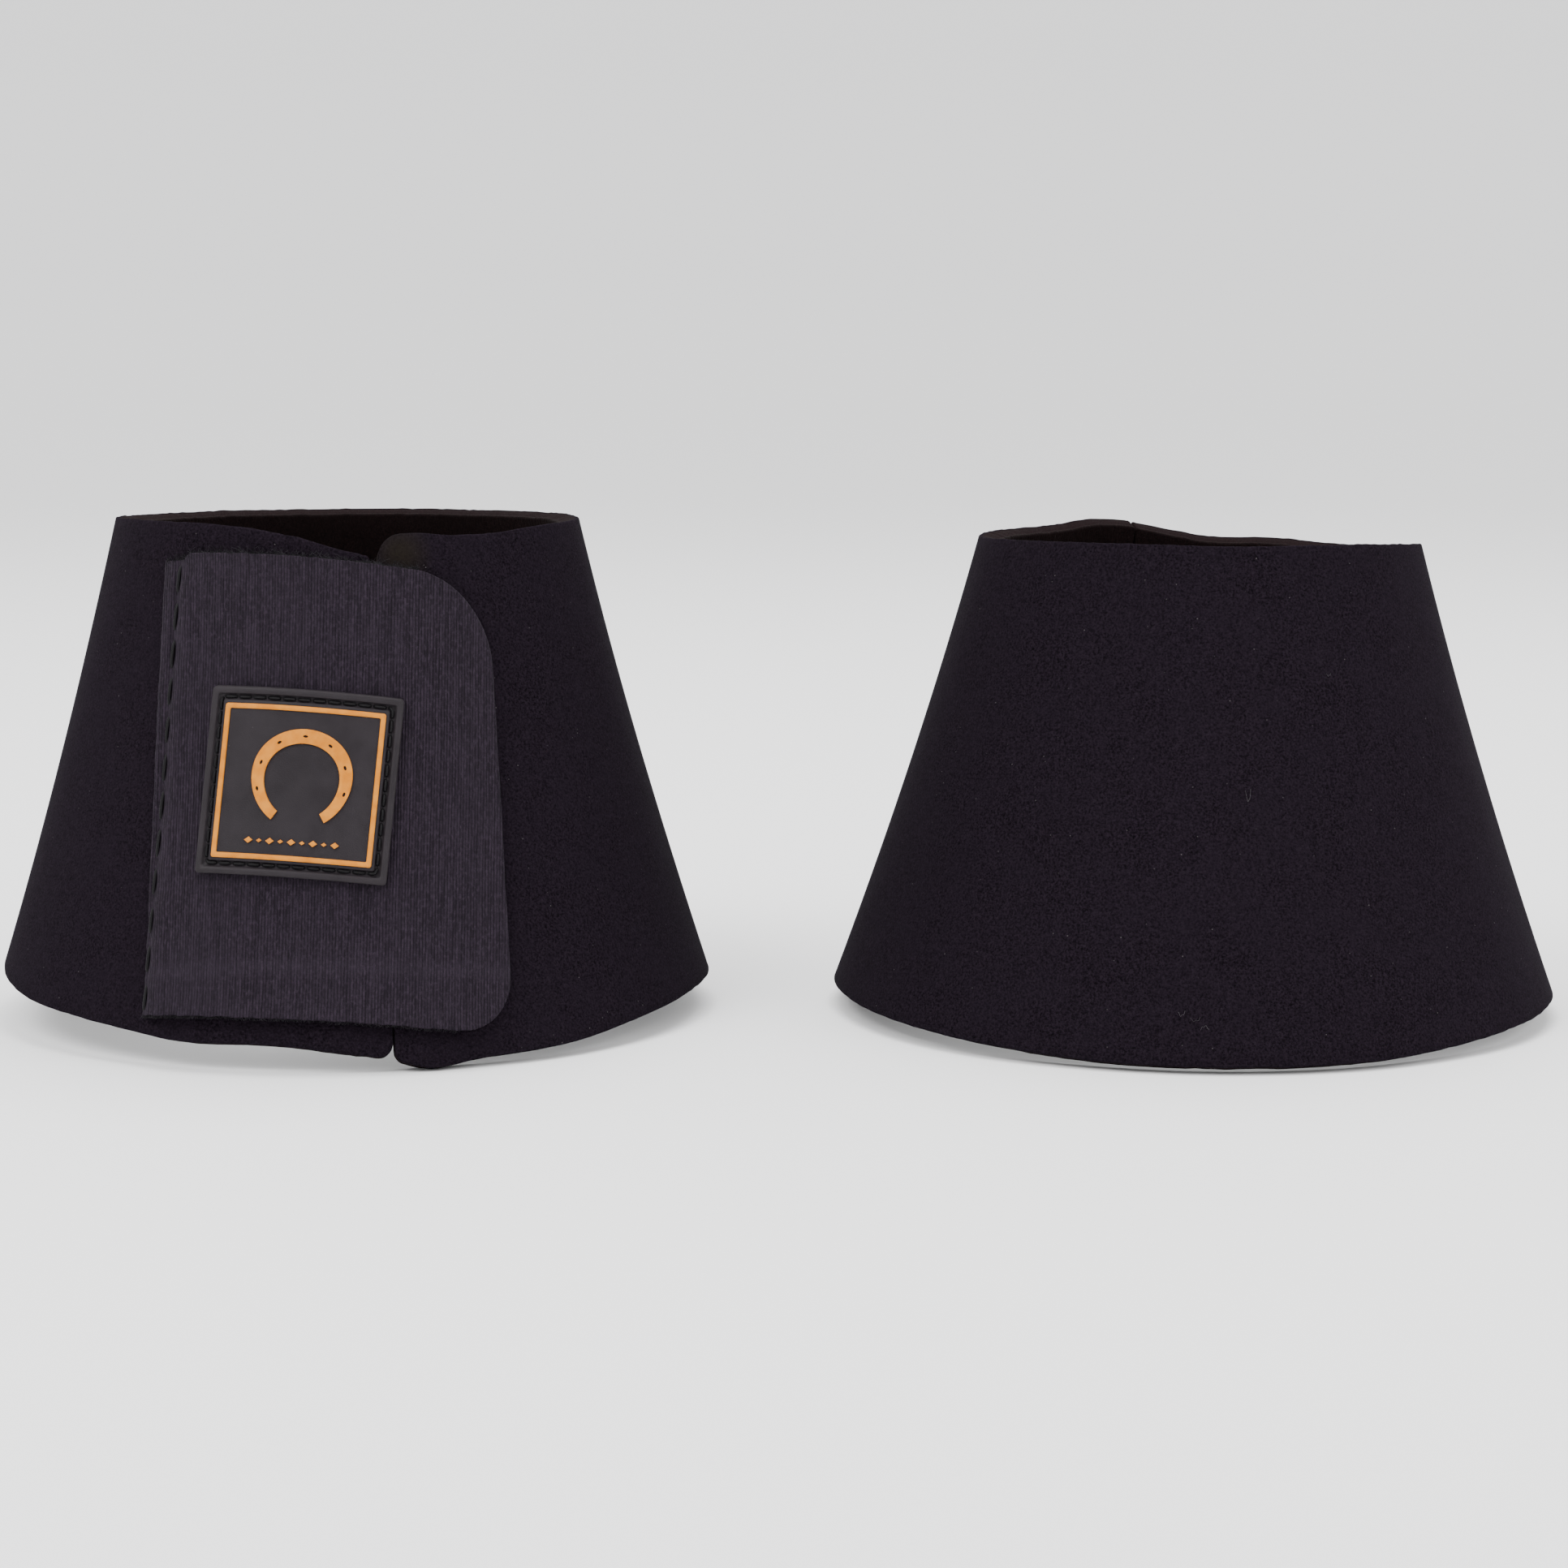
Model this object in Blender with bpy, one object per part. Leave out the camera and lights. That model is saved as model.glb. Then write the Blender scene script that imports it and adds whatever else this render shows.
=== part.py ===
"""A pair of neoprene bell boots, each closed in front by a wide hook strap that carries a sewn-on badge.

Metres, +Z up. The origin is on the ground, midway between the boots. The left boot stands at -X with its
closure towards -Y. The right boot is the same boot turned half a turn, so its plain back faces -Y.
Every piece is laid out in its boot's own frame: angles run from the front (-Y) towards +X.
"""

import math
from collections import namedtuple

import bmesh
import bpy
from mathutils import Matrix, Vector

# Driving dimensions, in metres. Widths are from a boot's centre line to its outer face. The hem stands on the
# ground in front and at the back, and lifts by one amount at the boot's -X side and another at its +X side.
# The strap's pattern is placed for the taller boot, and sits lower by strap_drop on the other.
Boot = namedtuple("Boot", "name heading top bottom height lifts strap_drop")
LEFT = Boot("left", 0, 0.0529, 0.0849, 0.1140, lifts=(0.0134, 0.0074), strap_drop=0.0)
RIGHT = Boot("right", 180, 0.0505, 0.0855, 0.1097, lifts=(0.0039, 0.0050), strap_drop=0.0018)
BOOT_SPACING = 0.1957
ROUND_TOP = 0.92
ROUND_BOTTOM = 0.94
TRUMPET = 0.0013
GAP = 0.0003

# The laminate: a jersey face, a foam core and a lining, with the skins cut back a little from the core's edge.
SKIN = 0.0005
CORE = 0.0034
SKIN_TRIM = 0.0005
LAYERS = {
    "jersey": (0.0, SKIN),
    "foam": (SKIN + GAP, CORE),
    "lining": (SKIN + GAP + CORE + GAP, SKIN),
}
WALL = SKIN + GAP + CORE + GAP + SKIN

# The opening in front, and the top rim, which dips beside it on the strap's side.
OPENING_TURN = math.radians(12.3)
OPENING_WIDTH = 0.0018
RIM_DIP = 0.006
RIM_DIP_TURN = math.radians(26)
FLAT_HEM = 0.2
PANEL_STEP = math.radians(9)
ROWS = 4

# The strap: woven hook tape as a flat pattern, x round the boot from its front and y up.
TAPE = 0.0010
HOOKS = 0.0006
HOOK_MARGIN = 0.0035
STRAP_CORNERS = [(-0.0380, 0.0135), (0.0431, 0.0096), (0.0367, 0.1041), (-0.0366, 0.1110)]
STRAP_TAB_RADII = (0.0125, 0.0175)
SEAM = [(-0.0363, 0.0135), (-0.0312, 0.1105)]
SEAM_INSET = 0.0008
SEAM_END = 0.003
THREAD_RADIUS = 0.00035
CUT_CORNER = 0.0008

# The badge: a moulded rubber square, tilted, with a stitch groove, a raised frame, an emblem and a rule.
BADGE_CENTRE = Vector((-0.0032, 0.0605))
BADGE_TILT = math.radians(-4.5)
BADGE_WIDTH = 0.0400
BADGE_HEIGHT = 0.0392
BADGE_CORNER = 0.0015
BADGE_THICKNESS = 0.0016
GROOVE_INSET = 0.0016
GROOVE_WIDTH = 0.0014
GROOVE_DEPTH = 0.0007
GROOVE_CORNERS = (0.0008, 0.0006)
FRAME_INSET = 0.0035
FRAME_WIDTH = 0.0012
FRAME_CORNERS = (0.0005, 0.0003)
RAISED = 0.0004
SHOE_CENTRE = Vector((0.0008, 0.0010))
SHOE_RADIUS = 0.0100
SHOE_WEB = 0.0034
SHOE_OPENING = math.radians(66)
RULE_CENTRE = Vector((0.0, -0.0122))
RULE_SIZE = (0.0200, 0.0013)

# The longest steps in which flat shapes are cut so that they bend round the boot, and how blunt an edge stays sharp.
TAPE_STEP = 0.006
BADGE_STEP = 0.008
SHARP_ANGLE = math.radians(35)

# Distances outside the shell's face.
HOOKS_OUT = GAP
TAPE_OUT = HOOKS_OUT + HOOKS + GAP
STRAP_FACE = TAPE_OUT + TAPE
BADGE_OUT = STRAP_FACE + GAP
BADGE_FACE = BADGE_OUT + BADGE_THICKNESS
HINGE_OUT = 0.0002

MATERIALS = {
    "foam": ((0.010, 0.009, 0.010), 0.90),
    "outer_jersey": ((0.012, 0.009, 0.014), 0.85),
    "lining": ((0.060, 0.018, 0.014), 0.90),
    "strap_tape": ((0.026, 0.024, 0.034), 0.80),
    "hook": ((0.020, 0.018, 0.024), 0.60),
    "badge_rubber": ((0.035, 0.034, 0.040), 0.55),
    "badge_orange": ((0.780, 0.370, 0.090), 0.50),
    "thread": ((0.008, 0.007, 0.009), 0.70),
}


def clear_scene():
    for obj in list(bpy.data.objects):
        bpy.data.objects.remove(obj)


def make_materials():
    for name, (colour, roughness) in MATERIALS.items():
        material = bpy.data.materials.new(name)
        material.use_nodes = True
        shader = material.node_tree.nodes["Principled BSDF"]
        shader.inputs["Base Color"].default_value = (*colour, 1)
        shader.inputs["Roughness"].default_value = roughness
        shader.inputs["Metallic"].default_value = 0


def smooth(share):
    share = min(max(share, 0), 1)
    return share * share * (3 - 2 * share)


# ---- the bell's surface ----


def half_width(boot, z):
    rise = z / boot.height
    return boot.bottom + (boot.top - boot.bottom) * rise - 4 * TRUMPET * rise * (1 - rise)


def half_depth(boot, z):
    rise = z / boot.height
    return half_width(boot, z) * (ROUND_BOTTOM + (ROUND_TOP - ROUND_BOTTOM) * rise)


def on_boot(boot, turn, z, out):
    """The point at an angle and a height, and a distance outside the shell's outer face."""
    wide, deep = half_width(boot, z), half_depth(boot, z)
    outward = Vector((deep * math.sin(turn), -wide * math.cos(turn), 0)).normalized()
    slant = math.hypot(1, (boot.bottom - boot.top) / boot.height)
    return Vector((wide * math.sin(turn), -deep * math.cos(turn), z)) + outward * out * slant


def set_back(boot, turn, z, distance):
    """The angle that lies a distance further round the surface than turn."""
    wide, deep = half_width(boot, z), half_depth(boot, z)
    return turn + distance / math.hypot(wide * math.cos(turn), deep * math.sin(turn))


def on_pattern(boot, x, y, out):
    """The point of a flat pattern laid on the bell: a level line of the pattern sinks to both sides of the front."""
    taper = (boot.bottom - boot.top) / boot.height
    level = y - boot.strap_drop
    z = level - x * x * taper / (2 * half_width(boot, level))
    return on_boot(boot, x / half_width(boot, z), z, out)


def hem_height(boot, turn):
    lift = boot.lifts[0] if math.sin(turn) < 0 else boot.lifts[1]
    side = max(0, (abs(math.sin(turn)) - FLAT_HEM) / (1 - FLAT_HEM))
    return lift * side * side


def rim_height(boot, turn, dip):
    return boot.height - dip * smooth((turn - OPENING_TURN + RIM_DIP_TURN) / RIM_DIP_TURN)


# ---- meshes ----


def slab_mesh(columns, rows, place):
    """A grid extruded into a slab, with each corner moved to place(across, up, deep), all from 0 to 1."""
    bm = bmesh.new()
    bmesh.ops.create_grid(bm, x_segments=columns, y_segments=rows, size=0.5)
    raised = bmesh.ops.extrude_face_region(bm, geom=bm.faces[:])["geom"]
    lifted = [item for item in raised if isinstance(item, bmesh.types.BMVert)]
    bmesh.ops.translate(bm, verts=lifted, vec=(0, 0, 1))
    for vert in bm.verts:
        vert.co = place(vert.co.x + 0.5, vert.co.y + 0.5, vert.co.z)
    bmesh.ops.recalc_face_normals(bm, faces=bm.faces[:])
    return bm


def evaluated_mesh(obj):
    """The mesh of an object with its modifiers or its curve's fill applied; the object itself is removed."""
    bpy.context.view_layer.update()
    graph = bpy.context.evaluated_depsgraph_get()
    mesh = bpy.data.meshes.new_from_object(obj.evaluated_get(graph))
    bpy.data.objects.remove(obj)
    return mesh


def flat_plate(outlines, thickness):
    """A filled, extruded 2D curve as a closed mesh, from z = 0 to its thickness. A second outline is a hole."""
    curve = bpy.data.curves.new("outline", "CURVE")
    curve.dimensions = "2D"
    curve.fill_mode = "BOTH"
    curve.extrude = thickness / 2
    for outline in outlines:
        spline = curve.splines.new("POLY")
        spline.points.add(len(outline) - 1)
        spline.use_cyclic_u = True
        for point, (x, y) in zip(spline.points, outline):
            point.co = (x, y, 0, 1)
    obj = bpy.data.objects.new("outline", curve)
    bpy.context.scene.collection.objects.link(obj)
    mesh = evaluated_mesh(obj)
    bm = bmesh.new()
    bm.from_mesh(mesh)
    bmesh.ops.remove_doubles(bm, verts=bm.verts[:], dist=1e-6)
    bmesh.ops.dissolve_limit(bm, angle_limit=math.radians(1), verts=bm.verts[:], edges=bm.edges[:])
    bmesh.ops.translate(bm, verts=bm.verts[:], vec=(0, 0, thickness / 2))
    bm.to_mesh(mesh)
    bm.free()
    return mesh


def wrap(boot, mesh, out, step):
    """Cuts a flat plate into strips, then bends it onto the bell with its underside a distance outside the shell."""
    bm = bmesh.new()
    bm.from_mesh(mesh)
    widest = max(abs(vert.co.x) for vert in bm.verts)
    tallest = max(vert.co.y for vert in bm.verts)
    cuts = [(side * count * step, 0) for count in range(int(widest / step) + 1) for side in (-1, 1)]
    for x, _ in set(cuts):
        geometry = bm.verts[:] + bm.edges[:] + bm.faces[:]
        bmesh.ops.bisect_plane(bm, geom=geometry, dist=1e-6, plane_co=(x, 0, 0), plane_no=(1, 0, 0))
    for count in range(1, int(tallest / (4 * step)) + 1):
        geometry = bm.verts[:] + bm.edges[:] + bm.faces[:]
        level = (0, count * 4 * step, 0)
        bmesh.ops.bisect_plane(bm, geom=geometry, dist=1e-6, plane_co=level, plane_no=(0, 1, 0))
    bmesh.ops.triangulate(bm, faces=bm.faces[:])
    for vert in bm.verts:
        vert.co = on_pattern(boot, vert.co.x, vert.co.y, out + vert.co.z)
    bmesh.ops.recalc_face_normals(bm, faces=bm.faces[:])
    return bm


# ---- outlines in the pattern plane ----


def rounded_outline(corners, radii, segments=5):
    """The corners in order, each replaced by an arc of its radius."""
    points = []
    for index, corner in enumerate(corners):
        here = Vector(corner)
        before = (Vector(corners[index - 1]) - here).normalized()
        after = (Vector(corners[(index + 1) % len(corners)]) - here).normalized()
        half = before.angle(after) / 2
        radius = radii[index]
        centre = here + (before + after).normalized() * radius / math.sin(half)
        start = here + before * radius / math.tan(half) - centre
        sweep = math.pi - 2 * half
        steps = segments if radius > 0.002 else 2
        for count in range(steps + 1):
            offset = Matrix.Rotation(sweep * count / steps, 2) @ start
            points.append(tuple(centre + offset))
    return points


def on_badge(point):
    """A point of the upright badge, placed and tilted on the strap."""
    return tuple(BADGE_CENTRE + Matrix.Rotation(BADGE_TILT, 2) @ Vector(point))


def badge_rectangle(inset, radius):
    wide, high = BADGE_WIDTH / 2 - inset, BADGE_HEIGHT / 2 - inset
    corners = [(-wide, -high), (wide, -high), (wide, high), (-wide, high)]
    return [on_badge(point) for point in rounded_outline(corners, [radius] * 4)]


def horseshoe():
    """An open ring with its gap at the bottom: out along the rim, then back along the inside."""
    first = -math.pi / 2 + SHOE_OPENING / 2
    sweep = 2 * math.pi - SHOE_OPENING
    steps = 16
    points = []
    for radius, order in ((SHOE_RADIUS, range(steps + 1)), (SHOE_RADIUS - SHOE_WEB, range(steps, -1, -1))):
        for count in order:
            angle = first + sweep * count / steps
            points.append(on_badge(SHOE_CENTRE + radius * Vector((math.cos(angle), math.sin(angle)))))
    return points


def seam_x(y):
    """Where the strap's stitch line is, at a height of the pattern."""
    (low_x, low_y), (high_x, high_y) = SEAM
    return low_x + (high_x - low_x) * (y - low_y) / (high_y - low_y)


def strap_side(keep_flap, inset=0.0):
    """The outline of the strap's free flap, or of the edge that is sewn down, cut apart along the seam."""
    bottom_left, bottom_right, top_right, top_left = (Vector(corner) for corner in STRAP_CORNERS)
    along_bottom = (seam_x(bottom_left.y) - bottom_left.x) / (bottom_right.x - bottom_left.x)
    along_top = (seam_x(top_left.y) - top_left.x) / (top_right.x - top_left.x)
    low = bottom_left.lerp(bottom_right, along_bottom)
    high = top_left.lerp(top_right, along_top)
    half_gap = Vector((GAP / 2, 0))
    if not keep_flap:
        return rounded_outline([bottom_left, low - half_gap, high - half_gap, top_left], [CUT_CORNER] * 4)
    side, up = Vector((inset, 0)), Vector((0, inset))
    corners = [low + half_gap + side + up, bottom_right - side + up, top_right - side - up]
    corners.append(high + half_gap + side - up)
    tab_radii = [radius - inset for radius in STRAP_TAB_RADII]
    return rounded_outline(corners, [CUT_CORNER, *tab_radii, CUT_CORNER])


# ---- objects ----


class Assembly:
    """One boot's empties and the pieces that hang on them. A body's empty stands on its joint's axis."""

    def __init__(self, boot, centre_x, collection):
        self.boot = boot
        self.collection = collection
        self.frame = Matrix.Translation((centre_x, 0, 0)) @ Matrix.Rotation(math.radians(boot.heading), 4, "Z")
        self.stand = self.empty(boot.name + "_boot", None, self.frame)
        self.bodies = {}

    def empty(self, name, parent, matrix):
        empty = bpy.data.objects.new(name, None)
        empty.empty_display_size = 0.02
        self.collection.objects.link(empty)
        empty.parent = parent
        empty.matrix_local = matrix
        return empty

    def add_body(self, body, parent=None, axis=None):
        """A body's empty, with its Z along the axis that goes through two points of the boot's frame."""
        place = Matrix.Identity(4)
        if axis:
            start, end = axis
            place = Matrix.Translation(start) @ (end - start).to_track_quat("Z", "Y").to_matrix().to_4x4()
        above = self.bodies[parent][1] if parent else Matrix.Identity(4)
        holder = self.bodies[parent][0] if parent else self.stand
        empty = self.empty(f"{self.boot.name}_{body}_axis", holder, above.inverted() @ place)
        self.bodies[body] = (empty, place)

    def add(self, name, body, data, material):
        """A piece modelled in the boot's frame, moved into its body's frame and given its material."""
        empty, place = self.bodies[body]
        data.transform(place.inverted())
        data.materials.clear()
        data.materials.append(bpy.data.materials[material])
        obj = bpy.data.objects.new(f"{self.boot.name}_{name}", data)
        self.collection.objects.link(obj)
        obj.parent = empty
        return obj

    def add_solid(self, name, body, bm, material):
        mesh = bpy.data.meshes.new(name)
        bm.to_mesh(mesh)
        bm.free()
        mesh.shade_smooth()
        mesh.set_sharp_from_angle(angle=SHARP_ANGLE)
        return self.add(name, body, mesh, material)

    def add_plate(self, name, body, outlines, out, thickness, material, step=TAPE_STEP):
        flat = flat_plate(outlines, thickness)
        return self.add_solid(name, body, wrap(self.boot, flat, out, step), material)

    def add_thread(self, name, body, points, closed=False):
        """A round thread along points of the boot's frame."""
        curve = bpy.data.curves.new(name, "CURVE")
        curve.dimensions = "3D"
        curve.bevel_depth = THREAD_RADIUS
        curve.bevel_resolution = 1
        curve.use_fill_caps = not closed
        spline = curve.splines.new("POLY")
        spline.points.add(len(points) - 1)
        spline.use_cyclic_u = closed
        for point, place in zip(spline.points, points):
            point.co = (*place, 1)
        return self.add(name, body, curve, "thread")


def add_panel(assembly, body, start, end, margins, dip):
    """The three layers of one stretch of the shell, from one angle to another, set back by a margin at each end."""
    boot = assembly.boot
    columns = round((end - start) / PANEL_STEP)

    def placer(depth, thickness, trim):
        def place(across, up, deep):
            turn = start + (end - start) * across
            low = hem_height(boot, turn) + trim
            z = low + (rim_height(boot, turn, dip) - trim - low) * up
            margin = margins[0] * (1 - across) - margins[1] * across
            return on_boot(boot, set_back(boot, turn, z, margin), z, -depth - thickness * deep)

        return place

    for layer, (depth, thickness) in LAYERS.items():
        trim = 0 if layer == "foam" else SKIN_TRIM
        material = "outer_jersey" if layer == "jersey" else layer
        bm = slab_mesh(columns, ROWS, placer(depth, thickness, trim))
        assembly.add_solid(f"{body}_{layer}", body, bm, material)


def add_shell(assembly):
    quarter = math.pi / 2
    opening = OPENING_WIDTH / 2
    add_panel(assembly, "back", quarter, 3 * quarter, (GAP / 2, GAP / 2), 0)
    add_panel(assembly, "strap_wing", -quarter, OPENING_TURN, (GAP / 2, opening), RIM_DIP)
    add_panel(assembly, "loop_wing", OPENING_TURN, quarter, (opening, GAP / 2), 0)


def seam_points(boot, shift, out, count=9):
    """Points along the strap's seam, from just above its lower end to just below its upper end."""
    low_y, high_y = SEAM[0][1] + SEAM_END, SEAM[1][1] - SEAM_END
    levels = [low_y + (high_y - low_y) * index / (count - 1) for index in range(count)]
    return [on_pattern(boot, seam_x(level) + shift, level, out) for level in levels]


def add_strap(assembly):
    boot = assembly.boot
    thread_out = STRAP_FACE + GAP + THREAD_RADIUS
    sewn, flap = [strap_side(False)], [strap_side(True)]
    field = [strap_side(True, HOOK_MARGIN)]
    assembly.add_plate("strap_sewn_edge", "strap_wing", sewn, GAP, STRAP_FACE - GAP, "strap_tape")
    assembly.add_thread("strap_seam_thread", "strap_wing", seam_points(boot, -SEAM_INSET, thread_out))
    inside = -WALL - GAP - THREAD_RADIUS
    assembly.add_thread("strap_bobbin_thread", "strap_wing", seam_points(boot, -SEAM_INSET, inside))
    assembly.add_plate("strap_flap", "strap", flap, TAPE_OUT, TAPE, "strap_tape")
    assembly.add_plate("strap_hook_field", "strap", field, HOOKS_OUT, HOOKS, "hook")


def badge_base_mesh():
    """The badge's square plate with a groove for the stitches cut into its face."""
    plate = flat_plate([badge_rectangle(0, BADGE_CORNER)], BADGE_THICKNESS)
    outer = badge_rectangle(GROOVE_INSET, GROOVE_CORNERS[0])
    inner = badge_rectangle(GROOVE_INSET + GROOVE_WIDTH, GROOVE_CORNERS[1])
    ring = flat_plate([outer, inner], 2 * GROOVE_DEPTH)
    ring.transform(Matrix.Translation((0, 0, BADGE_THICKNESS - GROOVE_DEPTH)))
    base = bpy.data.objects.new("badge_blank", plate)
    cutter = bpy.data.objects.new("groove_cutter", ring)
    cutter.hide_render = True
    cutter.display_type = "WIRE"
    for obj in (base, cutter):
        bpy.context.scene.collection.objects.link(obj)
    groove = base.modifiers.new("groove", "BOOLEAN")
    groove.operation = "DIFFERENCE"
    groove.solver = "EXACT"
    groove.object = cutter
    mesh = evaluated_mesh(base)
    bpy.data.objects.remove(cutter)
    return mesh


def add_badge(assembly):
    boot = assembly.boot
    base = wrap(boot, badge_base_mesh(), BADGE_OUT, BADGE_STEP)
    assembly.add_solid("badge_base", "strap", base, "badge_rubber")
    frame = [
        badge_rectangle(FRAME_INSET, FRAME_CORNERS[0]),
        badge_rectangle(FRAME_INSET + FRAME_WIDTH, FRAME_CORNERS[1]),
    ]
    wide, high = (size / 2 for size in RULE_SIZE)
    corners = [RULE_CENTRE + Vector(corner) for corner in ((-wide, -high), (wide, -high), (wide, high), (-wide, high))]
    rule = [[on_badge(corner) for corner in corners]]
    out = BADGE_FACE + GAP
    assembly.add_plate("badge_frame", "strap", frame, out, RAISED, "badge_orange", BADGE_STEP)
    assembly.add_plate("badge_horseshoe", "strap", [horseshoe()], out, RAISED, "badge_orange", BADGE_STEP)
    assembly.add_plate("badge_rule", "strap", rule, out, RAISED, "badge_orange", BADGE_STEP)
    path = badge_rectangle(GROOVE_INSET + GROOVE_WIDTH / 2, GROOVE_CORNERS[0])
    dense = []
    for index, point in enumerate(path):
        here, after = Vector(point), Vector(path[(index + 1) % len(path)])
        pieces = max(1, round((after - here).length / BADGE_STEP))
        dense += [here.lerp(after, count / pieces) for count in range(pieces)]
    thread_out = BADGE_FACE - GROOVE_DEPTH + GAP + THREAD_RADIUS
    loop = [on_pattern(boot, point.x, point.y, thread_out) for point in dense]
    assembly.add_thread("badge_stitching", "strap", loop, closed=True)


def flex_line(boot, turn):
    """The line on the outer face, from hem to rim, about which a wing swings away from the back."""
    return [on_boot(boot, turn, z, HINGE_OUT) for z in (hem_height(boot, turn), boot.height)]


def seam_line(boot):
    """The line over the strap's stitching about which the flap peels open."""
    return [on_pattern(boot, x, y, STRAP_FACE + HINGE_OUT) for x, y in SEAM]


def build_boot(boot, centre_x, collection):
    assembly = Assembly(boot, centre_x, collection)
    assembly.add_body("back")
    assembly.add_body("strap_wing", "back", flex_line(boot, -math.pi / 2))
    assembly.add_body("loop_wing", "back", flex_line(boot, math.pi / 2))
    assembly.add_body("strap", "strap_wing", seam_line(boot))
    add_shell(assembly)
    add_strap(assembly)
    add_badge(assembly)


def main():
    clear_scene()
    make_materials()
    collection = bpy.data.collections.new("bell_boots")
    bpy.context.scene.collection.children.link(collection)
    extra = RIGHT.bottom - LEFT.bottom
    build_boot(LEFT, -(BOOT_SPACING + extra) / 2, collection)
    build_boot(RIGHT, (BOOT_SPACING - extra) / 2, collection)


main()
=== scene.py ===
"""The look of a pair of neoprene bell boots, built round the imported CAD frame.

Metres, +Z up. Each boot has its own frame: angles run from its closure towards its own +X side, and the
strap and badge are laid out on a flat pattern, x round the boot from the closure and y up.
"""

import math
import random

import bmesh
import bpy
import numpy as np
from mathutils import Matrix, Vector, noise


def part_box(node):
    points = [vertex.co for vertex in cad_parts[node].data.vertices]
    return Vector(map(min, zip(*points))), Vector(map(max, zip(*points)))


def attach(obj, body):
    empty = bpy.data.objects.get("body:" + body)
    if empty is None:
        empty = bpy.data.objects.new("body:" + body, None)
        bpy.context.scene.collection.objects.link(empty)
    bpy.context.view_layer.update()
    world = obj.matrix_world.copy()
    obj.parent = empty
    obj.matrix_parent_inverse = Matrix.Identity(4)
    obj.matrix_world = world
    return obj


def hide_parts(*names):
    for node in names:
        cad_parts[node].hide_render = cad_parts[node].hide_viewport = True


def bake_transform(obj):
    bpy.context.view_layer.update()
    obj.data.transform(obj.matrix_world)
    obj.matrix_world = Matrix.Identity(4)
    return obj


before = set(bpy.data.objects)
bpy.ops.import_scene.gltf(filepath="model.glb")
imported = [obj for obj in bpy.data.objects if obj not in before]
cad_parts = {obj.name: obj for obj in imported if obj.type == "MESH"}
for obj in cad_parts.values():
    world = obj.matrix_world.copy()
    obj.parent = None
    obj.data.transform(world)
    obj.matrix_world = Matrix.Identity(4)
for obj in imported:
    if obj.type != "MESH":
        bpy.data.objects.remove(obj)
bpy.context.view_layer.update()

MM = 0.001
WALL = 5.0 * MM
OPENING = math.radians(12.3)

# The strap: how far its face stands outside the shell, and its flat pattern. The corners go round from the
# bottom left, in millimetres. The two right-hand corners are arcs, and the top left one is nipped by fraying.
TAPE = 1.0 * MM
STRAP_FACE = 2.2 * MM
STRAP_CORNERS = [(-37.4, 13.6), (43.1, 9.6), (36.9, 104.3), (-36.5, 111.1)]
STRAP_WIDTH = 80 * MM
STRAP_HEIGHT = 97 * MM
BOTTOM_ARC = 12.5 * MM
TOP_ARC = 17.5 * MM
NIPPED_CORNER = 3.2 * MM
CREASE_LEVEL = 22.5 * MM
RIB_PITCH = 0.64 * MM

# The seam along the strap's left edge: its line in millimetres, its stitches, and BEND, how far to each side of it
# strap_hinge takes its two points.
SEAM = [(-36.3, 13.5), (-31.2, 110.5)]
SEAM_INSET = 0.8 * MM
SEAM_START = 17 * MM
SEAM_END = 107 * MM
SEAM_STITCH = 6.2 * MM
SEAM_PITCH = 8.0 * MM
SEAM_THREAD = 0.43 * MM
BEND = 3.6 * MM

# The hooks on the strap's inner side: the field's left, bottom, right and top, and the hooks in it.
HOOK_FIELD = (-31.5 * MM, 15 * MM, 38 * MM, 102 * MM)
HOOK_MARGIN = 4.0 * MM
HOOK_SPACING = 1.45 * MM
HOOK_THREAD = 0.085 * MM

# The badge.
BADGE_CENTRE = Vector((-3.2, 60.5)) * MM
BADGE_TILT = math.radians(-4.5)
BADGE_SIZE = (40.0 * MM, 39.2 * MM)
BADGE_THICKNESS = 1.7 * MM
BADGE_OUT = STRAP_FACE + 0.1 * MM
GROOVE_LINE = 2.25 * MM
GROOVE_STITCH = 2.5 * MM
GROOVE_PITCH = 3.1 * MM
GROOVE_THREAD = 0.33 * MM
SHOE_CENTRE = (0.8 * MM, 1.0 * MM)
SHOE_RADIUS = 10.4 * MM
SHOE_OPENING = math.radians(66)
NAILS = 7
RULE_LEVEL = -12.2 * MM
RULE_PITCH = 2.2 * MM

# The shell's cut edges, from the jersey to the lining: how far below the edge's crest, and how deep in the wall,
# in millimetres. FOAM_CORNER rounds the wall's ends at the closure.
CUT = [(0.16, 0.10), (0.03, 0.35), (0.0, 0.60), (0.07, 0.80), (0.02, 1.6), (0.0, 2.6)]
CUT += [(0.03, 3.6), (0.09, 4.15), (0.0, 4.4), (0.03, 4.65), (0.16, 4.90)]
FOAM_CORNER = 0.45 * MM
FACE_ROWS = 52
INNER_ROWS = 26
BACK_COLUMNS = 112
# Distances of the columns next to the closure from its edge.
EDGE_COLUMNS = [0, 0.12, 0.3, 0.55, 0.9, 1.3, 1.8, 2.4, 3.1, 3.9, 4.8, 5.8, 6.9, 8.1, 9.4, 10.8]
EDGE_COLUMNS = np.array(EDGE_COLUMNS) * MM
# Two depths, behind and in front of a boot's centre, on its middle plane.
BEND_FROM = 45 * MM
BEND_TO = -34 * MM
# The patch of crushed nap beside the closure: its angle, its height and its reach.
PATCH = (math.radians(18.5), 108.2 * MM, 6.0 * MM)

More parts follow.
